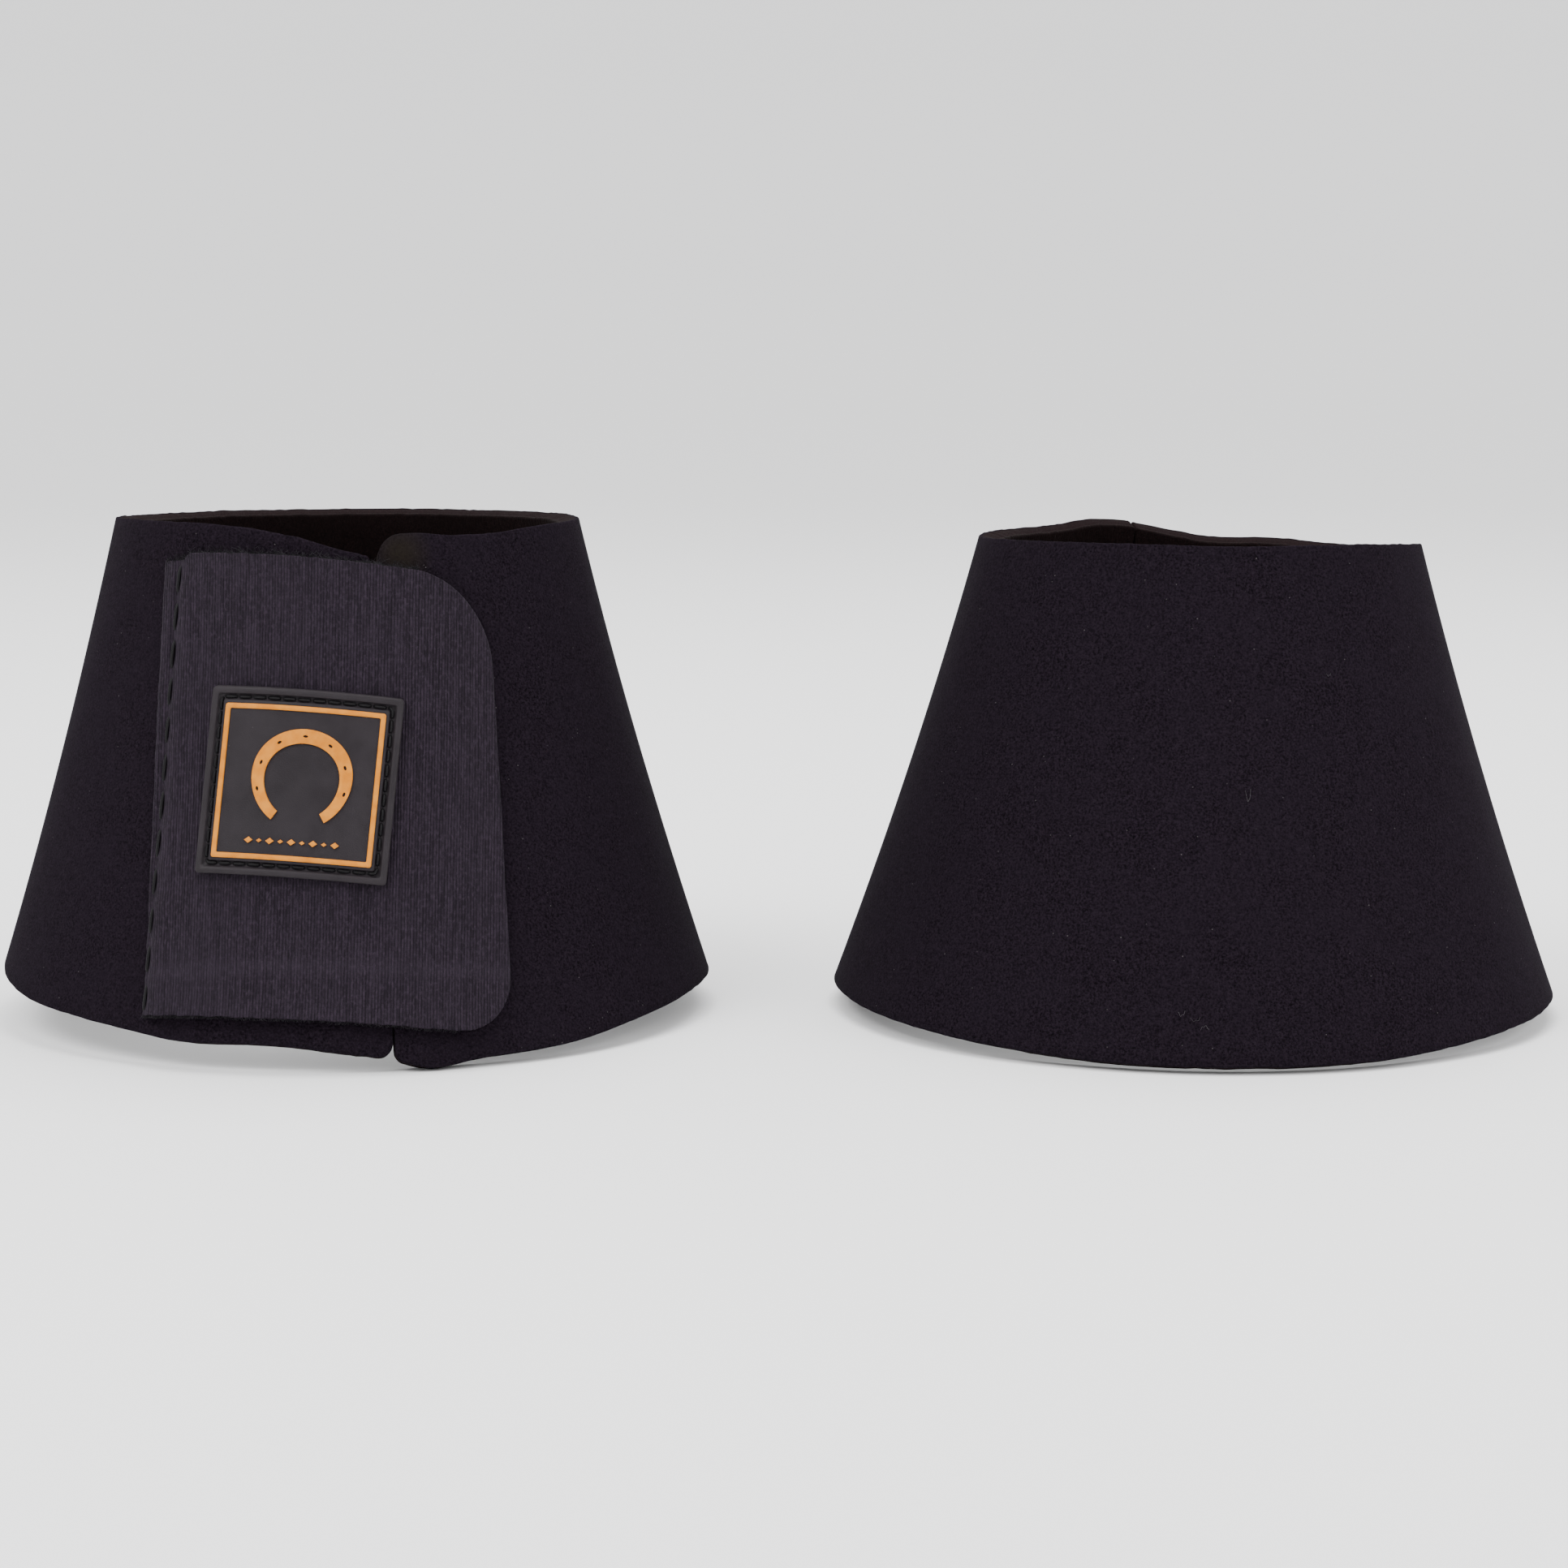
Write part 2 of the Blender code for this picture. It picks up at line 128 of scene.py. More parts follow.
# Height of the hem and of the rim, in millimetres, against the angle in degrees. The first list of each pair is
# the strap's side of the closure, from the back round to it; the second is the other side, from it to the back.
LEFT_HEM = (
    [(-180, 0.5), (-135, 6.5), (-90, 13.0), (-60, 9.8), (-33, 7.6), (-22, 6.1), (-8, 6.1), (2, 4.6), (12.3, 3)],
    [(12.3, 2.9), (20, 0.8), (27, 2.1), (40, 2.9), (60, 5.8), (90, 7.4), (135, 3.5), (180, 0.5)],
)
LEFT_RIM = (
    [(-180, 114), (-90, 114.4), (-44, 114.8), (-19, 114.2), (-9, 113.2), (1, 111.2), (8, 109), (12.3, 107.9)],
    [(12.3, 111.6), (18, 112.7), (28, 112.1), (41, 112.4), (54, 113.3), (75, 113.9), (120, 114.2), (180, 114)],
)
RIGHT_HEM = (
    [(-180, 1.8), (-156, 2.2), (-134, 3.9), (-110, 4.9), (-90, 5), (-50, 4.4), (-25, 3.6), (-5, 3.2), (12.3, 2)],
    [(12.3, 1.8), (20, 0.7), (35, 1.6), (60, 3.4), (90, 5.2), (115, 4.6), (143, 3.2), (161, 2.1), (180, 1.8)],
)
RIGHT_RIM = (
    [(-180, 110), (-133, 109.6), (-93, 108.1), (-60, 106.5), (-43, 106.5), (-28, 107.3), (-4, 107.8)]
    + [(4, 109.1), (12.3, 111)],
    [(12.3, 111.2), (17, 111.7), (23, 111.8), (32, 111.1), (42, 110.6), (68, 110.2), (92, 109.9)]
    + [(154, 110.3), (180, 110)],
)

# Fibres caught in the right boot's nap: degrees, then height, length and bend in millimetres.
LINT = [(183.5, 56, 1.2, 2.4), (174, 11, 2.2, 0.6), (175.5, 10, 1.8, -0.7)]
LINT += [(203, 82, 1.2, 0.4), (172, 12, 1.5, 0.9)]


# ---- curves ----


def profile(knots):
    """A smooth curve through knots of degrees and millimetres: a function from radians to metres."""
    degrees, heights = np.array(knots, float).T
    slopes = np.gradient(heights, degrees)
    slopes[np.abs(degrees) > 179] = 0

    def curve(turn):
        here = np.degrees(turn)
        index = np.clip(np.searchsorted(degrees, here) - 1, 0, len(degrees) - 2)
        span = degrees[index + 1] - degrees[index]
        share = np.clip((here - degrees[index]) / span, 0, 1)
        start = heights[index] * (1 + 2 * share) * (1 - share) ** 2
        end = heights[index + 1] * share**2 * (3 - 2 * share)
        bend = span * share * (1 - share) * (slopes[index] * (1 - share) - slopes[index + 1] * share)
        return (start + end + bend) * MM

    return curve


def smooth(share):
    share = np.clip(share, 0, 1)
    return share * share * (3 - 2 * share)


def ripple(x, y, size, seed):
    """Soft noise from -1 to 1 that changes over a length of size."""
    places = np.stack([np.ravel(x) / size, np.ravel(y) / size], -1)
    values = [noise.noise(Vector((a, b, seed))) for a, b in places]
    return np.array(values).reshape(np.shape(x))


class Bell:
    """One boot: its widths against height as read from the frame, its edges, and the places on its face.

    half_gaps is half the closure's width at the hem and at the rim, and corners the radii of the cut corners
    there, (bottom, top) on the strap's side and on the other side, all in millimetres.
    """

    def __init__(self, name, heading, hem, rim, seed, half_gaps, corners):
        tallest = max(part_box(f"{each}_strap_flap")[1][2] for each in ("left", "right"))
        self.strap_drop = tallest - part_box(name + "_strap_flap")[1][2]
        self.name = name
        self.heading = heading
        self.seed = seed
        self.half_gaps = half_gaps
        self.corners = corners
        self.hem = [profile(knots) for knots in hem]
        self.rim = [profile(knots) for knots in rim]
        back = np.array([v.co[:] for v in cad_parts[name + "_back_jersey"].data.vertices])
        low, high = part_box(name + "_back_foam")
        self.height = high[2]
        middle = (low[0] + high[0]) / 2
        sides = outermost(back, np.abs(back[:, 1]) < 0.5 * MM, back[:, 0] - middle)
        sign = np.sign(sides[:, 0] - middle)
        terms = np.stack([np.ones(len(sides)), sign, sign * sides[:, 2], sign * sides[:, 2] ** 2], -1)
        self.centre, *wide = np.linalg.lstsq(terms, sides[:, 0], rcond=None)[0]
        self.wide = wide[::-1]
        backs = outermost(back, np.abs(back[:, 0] - self.centre) < 0.5 * MM, back[:, 1])
        self.deep = np.polyfit(backs[:, 2], np.abs(backs[:, 1]), 3)
        self.taper = (np.polyval(self.wide, 0) - np.polyval(self.wide, self.height)) / self.height
        self.slant = math.atan(self.taper)

    def wave(self, turn, z):
        """The soft unevenness of a bent sheet of foam."""
        rise = z / self.height
        slow = 0.30 * np.sin(3 * turn + self.seed) * np.cos(2.6 * rise + 0.4)
        quick = 0.16 * np.sin(7 * turn + 2.1 * self.seed + 3 * rise) + 0.07 * np.sin(13 * turn - 5 * rise)
        return (slow + quick) * MM

    def place(self, turn, z, out=0.0):
        """The world place at an angle and a height of the face, and a distance outside it along its normal."""
        wide, deep = np.polyval(self.wide, z), np.polyval(self.deep, z)
        across, along = deep * np.sin(turn), -wide * np.cos(turn)
        out = out + self.wave(turn, z)
        level = out * math.cos(self.slant) / np.hypot(across, along)
        x = wide * np.sin(turn) + across * level
        y = -deep * np.cos(turn) + along * level
        z = z + out * math.sin(self.slant)
        return np.stack(np.broadcast_arrays(self.centre + self.heading * x, self.heading * y, z), -1)

    def on_pattern(self, x, y, out=0.0):
        """The world place of a point of the flat pattern."""
        y = y - self.strap_drop
        z = y - x * x * self.taper / (2 * np.polyval(self.wide, y))
        return self.place(x / np.polyval(self.wide, z), z - out * math.sin(self.slant), out)

    def ahead(self, y):
        """The world point on the middle plane through the boot's sides, y in front of or behind its centre."""
        return (self.centre, self.heading * y, 0.05)


def outermost(points, chosen, distance):
    """The chosen point that lies furthest out at each height, on either side."""
    best = {}
    for index in np.flatnonzero(chosen):
        key = (round(points[index, 2], 4), distance[index] > 0)
        if key not in best or abs(distance[index]) > abs(distance[best[key]]):
            best[key] = index
    return points[sorted(best.values())]


# ---- materials ----


class Paint:
    """A procedural material, built up node by node. Lengths in it are metres."""

    def __init__(self, name, roughness, specular):
        self.material = bpy.data.materials.new(name)
        self.material.use_nodes = True
        self.tree = self.material.node_tree
        self.shader = self.tree.nodes["Principled BSDF"]
        self.shader.inputs["Roughness"].default_value = roughness
        self.shader.inputs["Specular IOR Level"].default_value = specular
        self.shader.inputs["Metallic"].default_value = 0.0
        self.place = self.node("ShaderNodeTexCoord").outputs["Object"]
        self.pattern = self.node("ShaderNodeTexCoord").outputs["UV"]
        self.normal = None

    def node(self, kind, **settings):
        node = self.tree.nodes.new(kind)
        for key, value in settings.items():
            setattr(node, key, value)
        return node

    def feed(self, value, socket):
        """Links an output into a socket, or sets the socket's number or colour."""
        if isinstance(value, bpy.types.NodeSocket):
            self.tree.links.new(value, socket)
        elif isinstance(value, tuple):
            socket.default_value = (*value, 1) if len(socket.default_value) == 4 else value
        else:
            socket.default_value = value

    def stretched(self, vector, factors):
        mapping = self.node("ShaderNodeMapping")
        self.feed(vector, mapping.inputs["Vector"])
        self.feed(factors, mapping.inputs["Scale"])
        return mapping.outputs["Vector"]

    def noise(self, size, detail=2.0, vector=None, roughness=0.5):
        """Noise whose grains are about size across."""
        texture = self.node("ShaderNodeTexNoise")
        self.feed(vector or self.place, texture.inputs["Vector"])
        self.feed(1 / size, texture.inputs["Scale"])
        self.feed(detail, texture.inputs["Detail"])
        self.feed(roughness, texture.inputs["Roughness"])
        return texture.outputs["Fac"]

    def cells(self, size, vector=None):
        """The distance to the nearest of many scattered points, about size apart."""
        texture = self.node("ShaderNodeTexVoronoi")
        self.feed(vector or self.place, texture.inputs["Vector"])
        self.feed(1 / size, texture.inputs["Scale"])
        return texture.outputs["Distance"]

    def spread(self, value, low, high, least=0.0, most=1.0):
        """The value's range from low to high, spread over least to most."""
        ranger = self.node("ShaderNodeMapRange")
        for socket, number in zip(ranger.inputs, (value, low, high, least, most)):
            self.feed(number, socket)
        return ranger.outputs["Result"]

    def math(self, operation, first, second=0.0):
        node = self.node("ShaderNodeMath", operation=operation)
        self.feed(first, node.inputs[0])
        self.feed(second, node.inputs[1])
        return node.outputs[0]

    def mix(self, share, first, second):
        node = self.node("ShaderNodeMix", data_type="RGBA")
        self.feed(share, node.inputs[0])
        self.feed(first, node.inputs[6])
        self.feed(second, node.inputs[7])
        return node.outputs[2]

    def attribute(self, name):
        return self.node("ShaderNodeAttribute", attribute_name=name).outputs["Fac"]

    def bump(self, height, depth):
        """Adds relief: a height from 0 to 1 that stands depth high."""
        bump = self.node("ShaderNodeBump")
        self.feed(height, bump.inputs["Height"])
        bump.inputs["Distance"].default_value = depth
        bump.inputs["Strength"].default_value = 1.0
        if self.normal:
            self.feed(self.normal, bump.inputs["Normal"])
        self.normal = bump.outputs["Normal"]

    def sheen(self, weight, roughness, tint):
        self.feed(weight, self.shader.inputs["Sheen Weight"])
        self.feed(roughness, self.shader.inputs["Sheen Roughness"])
        self.feed(tint, self.shader.inputs["Sheen Tint"])

    def finish(self, colour, roughness=None):
        self.feed(colour, self.shader.inputs["Base Color"])
        if roughness is not None:
            self.feed(roughness, self.shader.inputs["Roughness"])
        if self.normal:
            self.feed(self.normal, self.shader.inputs["Normal"])
        return self.material


def jersey_material():
    """Brushed nylon jersey: a short dull nap, nearly black with a purple cast, with dust and a crushed patch."""
    paint = Paint("brushed_jersey", 0.95, 0.02)
    nap = paint.noise(0.5 * MM, 4.0, roughness=0.75)
    blotch = paint.noise(9 * MM, 3.0)
    colour = paint.mix(paint.spread(nap, 0.36, 0.66), (0.0016, 0.0011, 0.0019), (0.0140, 0.0098, 0.0146))
    colour = paint.mix(paint.spread(blotch, 0.35, 0.7, 0.0, 0.35), colour, (0.0090, 0.0066, 0.0100))
    crushed = paint.math("MULTIPLY", paint.attribute("crushed"), paint.spread(nap, 0.3, 0.6, 0.5, 1.0))
    colour = paint.mix(crushed, colour, (0.0118, 0.0096, 0.0072))
    dust = paint.spread(paint.cells(2.2 * MM), 0.075, 0.045)
    rare = paint.spread(paint.noise(5 * MM, 1.0), 0.52, 0.62)
    colour = paint.mix(paint.math("MULTIPLY", dust, rare), colour, (0.060, 0.053, 0.056))
    paint.sheen(0.003, 0.40, (0.75, 0.62, 0.85))
    paint.bump(paint.noise(2.5 * MM, 2.0), 0.10 * MM)
    paint.bump(nap, 0.16 * MM)
    return paint.finish(colour)


def foam_material():
    """The cut edge of the foam core: fine closed cells, dark with a brown cast."""
    paint = Paint("foam_cut_edge", 0.95, 0.03)
    grain = paint.noise(0.3 * MM, 3.0)
    colour = paint.mix(paint.spread(grain, 0.3, 0.7), (0.0040, 0.0023, 0.0026), (0.0125, 0.0070, 0.0076))
    pores = paint.spread(paint.cells(0.45 * MM), 0.15, 0.35)
    paint.bump(pores, 0.08 * MM)
    paint.bump(grain, 0.10 * MM)
    return paint.finish(colour)


def lining_material():
    """The lining: a fine knit, a dull red brown, its colours kept darker than the knit's own as painted shade for
    the inside of the boot.
    """
    paint = Paint("knit_lining", 0.9, 0.05)
    grain = paint.noise(0.4 * MM, 3.0)
    blotch = paint.noise(12 * MM, 2.0)
    # Painted shade: these colours are darker than the knit's own, for the shade inside the boot.
    colour = paint.mix(paint.spread(grain, 0.3, 0.7), (0.0024, 0.0015, 0.0017), (0.0085, 0.0044, 0.0044))
    colour = paint.mix(paint.spread(blotch, 0.4, 0.7, 0.0, 0.4), colour, (0.0042, 0.0024, 0.0024))
    paint.sheen(0.008, 0.5, (0.85, 0.62, 0.58))
    knit = paint.stretched(paint.pattern, (1.0, 0.45, 1.0))
    paint.bump(paint.cells(0.75 * MM, knit), 0.12 * MM)
    paint.bump(grain, 0.08 * MM)
    return paint.finish(colour)


def tape_material():
    """The strap's woven face: fine upright ribs, broken where the weft passes over them, with painted shade in the
    valleys between the ribs.
    """
    paint = Paint("woven_hook_tape", 0.78, 0.07)
    split = paint.node("ShaderNodeSeparateXYZ")
    paint.feed(paint.pattern, split.inputs[0])
    swap = paint.node("ShaderNodeCombineXYZ")
    paint.feed(split.outputs["Y"], swap.inputs["X"])
    paint.feed(split.outputs["X"], swap.inputs["Y"])
    weave = paint.node("ShaderNodeTexBrick", offset=0.5, offset_frequency=2)
    paint.feed(swap.outputs[0], weave.inputs["Vector"])
    sizes = {"Scale": 1.0, "Mortar Size": 0.08 * MM, "Mortar Smooth": 1.0, "Bias": 0.0}
    sizes.update({"Brick Width": 1.9 * MM, "Row Height": RIB_PITCH})
    for name, value in sizes.items():
        paint.feed(value, weave.inputs[name])
    paint.feed((0.0, 0.0, 0.0), weave.inputs["Color1"])
    paint.feed((1.0, 1.0, 1.0), weave.inputs["Color2"])
    paint.feed((0.5, 0.5, 0.5), weave.inputs["Mortar"])
    rib = paint.spread(paint.math("PINGPONG", split.outputs["X"], RIB_PITCH / 2), 0.0, RIB_PITCH / 2)
    fuzz = paint.noise(0.3 * MM, 3.0, roughness=0.75)
    blotch = paint.noise(14 * MM, 3.0)
    streak = paint.noise(1.0 * MM, 3.0, paint.stretched(paint.pattern, (1.0, 0.07, 1.0)), 0.6)
    crease_highlight = paint.math("ABSOLUTE", paint.math("SUBTRACT", split.outputs["Y"], CREASE_LEVEL))
    colour = paint.mix(weave.outputs["Color"], (0.0128, 0.0088, 0.0139), (0.0232, 0.0162, 0.0251))
    colour = paint.mix(paint.spread(weave.outputs["Fac"], 0.0, 1.0, 0.0, 0.26), colour, (0.0030, 0.0023, 0.0036))
    # Painted shade: the valleys between the ribs are darkened.
    colour = paint.mix(paint.spread(rib, 0.45, 0.0, 0.0, 0.68), colour, (0.0022, 0.0017, 0.0027))
    colour = paint.mix(paint.spread(streak, 0.50, 0.66, 0.0, 0.38), colour, (0.0310, 0.0223, 0.0334))
    colour = paint.mix(paint.spread(streak, 0.48, 0.34, 0.0, 0.45), colour, (0.0058, 0.0041, 0.0066))
    fleck = paint.noise(0.6 * MM, 2.0, paint.stretched(paint.pattern, (1.0, 0.6, 1.0)), 0.6)
    colour = paint.mix(paint.spread(fleck, 0.52, 0.70, 0.0, 0.60), colour, (0.0390, 0.0279, 0.0417))
    colour = paint.mix(paint.spread(fleck, 0.46, 0.30, 0.0, 0.50), colour, (0.0070, 0.0050, 0.0079))
    # Painted highlight: a lighter band along the crease line, standing for light on a fold that the strap's shape
    # does not have.
    colour = paint.mix(paint.spread(crease_highlight, 2.4 * MM, 0.6 * MM, 0.0, 0.22), colour, (0.0360, 0.0270, 0.0391))
    colour = paint.mix(paint.spread(blotch, 0.4, 0.7, 0.0, 0.25), colour, (0.0200, 0.0145, 0.0219))
    colour = paint.mix(paint.spread(fuzz, 0.38, 0.7, 0.0, 0.50), colour, (0.0050, 0.0037, 0.0058))
    paint.sheen(0.012, 0.4, (0.85, 0.78, 0.88))
    paint.bump(streak, 0.04 * MM)
    paint.bump(rib, 0.15 * MM)
    paint.bump(weave.outputs["Fac"], -0.05 * MM)
    paint.bump(fuzz, 0.10 * MM)
    return paint.finish(colour)


def fibre_material(name, dark, light, roughness=0.7):
    """Loose fibres and threads: slightly different from one to the next."""
    paint = Paint(name, roughness, 0.12)
    colour = paint.mix(paint.spread(paint.noise(1.2 * MM, 1.0), 0.35, 0.65), dark, light)
    return paint.finish(colour)


def thread_material():
    """Bonded sewing thread: a tight twist and a slight shine."""
    paint = Paint("sewing_thread", 0.55, 0.15)
    twist = paint.noise(0.25 * MM, 1.0)
    paint.bump(twist, 0.08 * MM)
    return paint.finish(paint.mix(twist, (0.0008, 0.0007, 0.0010), (0.0036, 0.0031, 0.0040)))


def rubber_material():
    """The badge's moulded rubber: charcoal, satin, with a fine even grain and a painted highlight on its lip."""
    paint = Paint("moulded_rubber", 0.5, 0.12)
    grain = paint.noise(0.22 * MM, 2.0)
    cloud = paint.noise(6 * MM, 3.0)
    lip_highlight = paint.attribute("lip")
    colour = paint.mix(paint.spread(cloud, 0.35, 0.65), (0.0130, 0.0106, 0.0124), (0.0175, 0.0143, 0.0168))
    # Painted highlight: the crest and outer edge of the lip are made lighter.
    colour = paint.mix(paint.math("MULTIPLY", lip_highlight, 0.12), colour, (0.0300, 0.0255, 0.0290))
    dust = paint.spread(paint.cells(3.5 * MM), 0.04, 0.02)
    colour = paint.mix(paint.math("MULTIPLY", dust, 0.5), colour, (0.10, 0.09, 0.095))
    paint.bump(grain, 0.035 * MM)
    return paint.finish(colour, paint.spread(cloud, 0.3, 0.7, 0.42, 0.58))


def orange_material():
    """The raised orange rubber, softly mottled in colour and roughness."""
    paint = Paint("orange_rubber", 0.55, 0.10)
    cloud = paint.noise(2.5 * MM, 3.0)
    colour = paint.mix(paint.spread(cloud, 0.35, 0.65), (0.46, 0.150, 0.010), (0.54, 0.200, 0.020))
    paint.bump(paint.noise(0.3 * MM, 2.0), 0.03 * MM)
    return paint.finish(colour, paint.spread(cloud, 0.3, 0.7, 0.42, 0.6))


def make_materials():
    return {
        "jersey": jersey_material(),
        "foam": foam_material(),
        "lining": lining_material(),
        "tape": tape_material(),
        "fray": fibre_material("frayed_yarn", (0.0029, 0.0025, 0.0033), (0.0137, 0.0117, 0.0146)),
        "hook": fibre_material("nylon_hook", (0.0070, 0.0062, 0.0080), (0.0180, 0.0160, 0.0200), 0.45),
        "lint": fibre_material("lint", (0.040, 0.036, 0.038), (0.090, 0.082, 0.086)),
        "thread": thread_material(),
        "rubber": rubber_material(),
        "orange": orange_material(),
    }


# ---- mesh helpers ----


def add_mesh(name, points, faces, materials, indices=None, pattern=None, attributes=None):
    """An object in the row frame. pattern holds each vertex's place on its flat cloth, in metres."""
    mesh = bpy.data.meshes.new(name)
    mesh.from_pydata(np.asarray(points).tolist(), [], faces)
    for material in materials:
        mesh.materials.append(paints[material])
    if indices is not None:
        mesh.polygons.foreach_set("material_index", np.asarray(indices, np.int32))
    if pattern is not None:
        corners = np.empty(len(mesh.loops), np.int32)
        mesh.loops.foreach_get("vertex_index", corners)
        layer = mesh.uv_layers.new(name="pattern")
        layer.data.foreach_set("uv", np.asarray(pattern, np.float32)[corners].ravel())
    for key, values in (attributes or {}).items():
        mesh.attributes.new(key, "FLOAT", "POINT").data.foreach_set("value", np.asarray(values, np.float32))
    bm = bmesh.new()
    bm.from_mesh(mesh)
    bmesh.ops.recalc_face_normals(bm, faces=bm.faces[:])
    bm.to_mesh(mesh)
    bm.free()
    mesh.shade_smooth()
    obj = bpy.data.objects.new(name, mesh)
    bpy.context.scene.collection.objects.link(obj)
    return obj


def strips(columns, rows, loop_columns=False, loop_rows=False):
    """The quads of a grid whose vertex numbers run down each column in turn."""
    faces = []
    for i in range(columns if loop_columns else columns - 1):
        for j in range(rows if loop_rows else rows - 1):
            right, above = (i + 1) % columns, (j + 1) % rows
            faces.append((i * rows + j, right * rows + j, right * rows + above, i * rows + above))
    return faces


def tubes(paths, radii, sides=3, thin_end=0.5):
    """Round threads along paths, in one mesh: each path is an array of points."""
    points, faces = [], []
    angles = np.arange(sides) * 2 * math.pi / sides
    for path, radius in zip(paths, radii):
        path = np.asarray(path)
        along = np.gradient(path, axis=0)
        along /= np.linalg.norm(along, axis=1)[:, None]
        guide = np.array([0.31, 0.17, 0.93]) if abs(along[0][2]) < 0.8 else np.array([0.93, 0.31, 0.17])
        side = np.cross(along, guide)
        side /= np.linalg.norm(side, axis=1)[:, None]
        other = np.cross(along, side)
        size = radius * np.linspace(1, thin_end, len(path))[:, None, None]
        ring = np.cos(angles)[None, :, None] * side[:, None] + np.sin(angles)[None, :, None] * other[:, None]
        first = len(points)
        points += (path[:, None] + ring * size).reshape(-1, 3).tolist()
        faces += [tuple(first + v for v in face) for face in strips(len(path), sides, False, True)]
        faces.append(tuple(first + v for v in range(sides)))
        faces.append(tuple(first + (len(path) - 1) * sides + v for v in reversed(range(sides))))
    return points, faces


# ---- the shell ----

def section():
    """One column of the wall, as a loop from the foot of the outer face.

    Each place is its share of the height, its offset from there, its depth in the wall and its material's index.
    """
    loop = []
    for share in np.linspace(0, 1, FACE_ROWS):
        loop.append((share, FOAM_CORNER * (1 - 2 * share), 0.0, 0))
    for below, depth in CUT:
        loop.append((1.0, -below * MM, depth * MM, 0 if depth < 0.7 else (1 if depth < 4.2 else 2)))
    for share in np.linspace(1, 0, INNER_ROWS):
        loop.append((share, FOAM_CORNER * (1 - 2 * share), WALL, 2))
    for below, depth in reversed(CUT):
        loop.append((0.0, below * MM, depth * MM, 2 if depth > 4.3 else (1 if depth > 0.7 else 0)))
    return loop


def corner_drop(distance, radius):
    """How far an edge falls back near a rounded corner."""
    inside = np.clip(radius - distance, 0, radius)
    return radius - np.sqrt(radius**2 - inside**2)


def shell_half(bell, side):
    """The wall from the closure round to the back, on the strap's side (-1) or the other side (+1)."""
    which = 0 if side < 0 else 1
    bottom_corner, top_corner = (radius * MM for radius in bell.corners[which])
    loop = section()
    share, offset, depth, _ = (np.array(column)[None] for column in zip(*loop))
    back = side * math.pi
    wide_middle = np.polyval(bell.wide, bell.height / 2)
    far = np.linspace(0, 1, BACK_COLUMNS)
    far = np.append(np.append(far[1:-1], 0.9995), 1.0)
    distance = np.append(EDGE_COLUMNS, np.full(len(far), np.inf))[:, None]
    progress = np.append(np.zeros(len(EDGE_COLUMNS)), far)[:, None]
    near = np.minimum(distance, EDGE_COLUMNS[-1])

    def turns(z):
        half_gap = np.interp(z, (0, bell.height), np.multiply(bell.half_gaps, MM))
        edge = OPENING + side * (half_gap + near) / np.polyval(bell.wide, z)
        return edge + (back - edge) * progress

    guess = turns(np.full_like(near, bell.height / 2))
    low = bell.hem[which](guess) + corner_drop(near, bottom_corner)
    high = bell.rim[which](guess) - corner_drop(near, top_corner)
    rough = ripple(guess * wide_middle, np.full_like(guess, bell.seed), 1.6 * MM, 3.0)
    rough += 0.6 * ripple(guess * wide_middle, np.full_like(guess, bell.seed), 6 * MM, 5.0)
    low = np.maximum(low + 0.14 * MM * rough, 0.1 * MM)
    high = high + 0.16 * MM * np.roll(rough, 7, axis=0) * (progress < 0.97)
    z = low + (high - low) * share + offset
    turn = turns(z)
    rounding = corner_drop(near, FOAM_CORNER)
    depth = WALL / 2 + (depth - WALL / 2) * (1 - 2 * rounding / WALL)
    places = bell.place(turn, z, -depth)
    places[..., 2] = np.maximum(places[..., 2], 0.02 * MM)

    columns, rows = z.shape
    faces = strips(columns, rows, False, True)
    slots = [loop[j][3] for _ in range(columns - 1) for j in range(rows)]
    for j in range(rows // 2):
        opposite = (rows - 1 - j) % rows
        if opposite > j + 1:
            faces.append((j, j + 1, opposite - 1, opposite))
            slots.append(1)
    along = turn * wide_middle
    pattern = np.stack([along, z / math.cos(bell.slant)], -1).reshape(-1, 2)
    aim, level, reach = PATCH
    away = np.hypot((turn - aim) * np.polyval(bell.wide, z), z - level) / reach
    crushed = np.clip(1.25 - away, 0, 1) * (depth < MM) * (side > 0)
    name = f"{bell.name}_shell_{'strap' if side < 0 else 'loop'}_side"
    materials = ["jersey", "foam", "lining"]
    return add_mesh(name, places.reshape(-1, 3), faces, materials, slots, pattern, {"crushed": crushed.ravel()})


def build_shell(bell):
    hidden = {-1: ["back_jersey", "back_foam"], 1: ["back_lining"]}
    for side, wing in ((-1, "strap_wing"), (1, "loop_wing")):
        obj = shell_half(bell, side)
        nodes = [f"{wing}_{layer}" for layer in ("jersey", "foam", "lining")] + hidden[side]
        bell.ahead(BEND_FROM)
        bell.ahead(BEND_TO)
        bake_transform(obj)
        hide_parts(*[f"{bell.name}_{node}" for node in nodes])


# ---- the strap ----


def seam_x(y):
    (low_x, low_y), (high_x, high_y) = SEAM
    return (low_x + (high_x - low_x) * (y / MM - low_y) / (high_y - low_y)) * MM


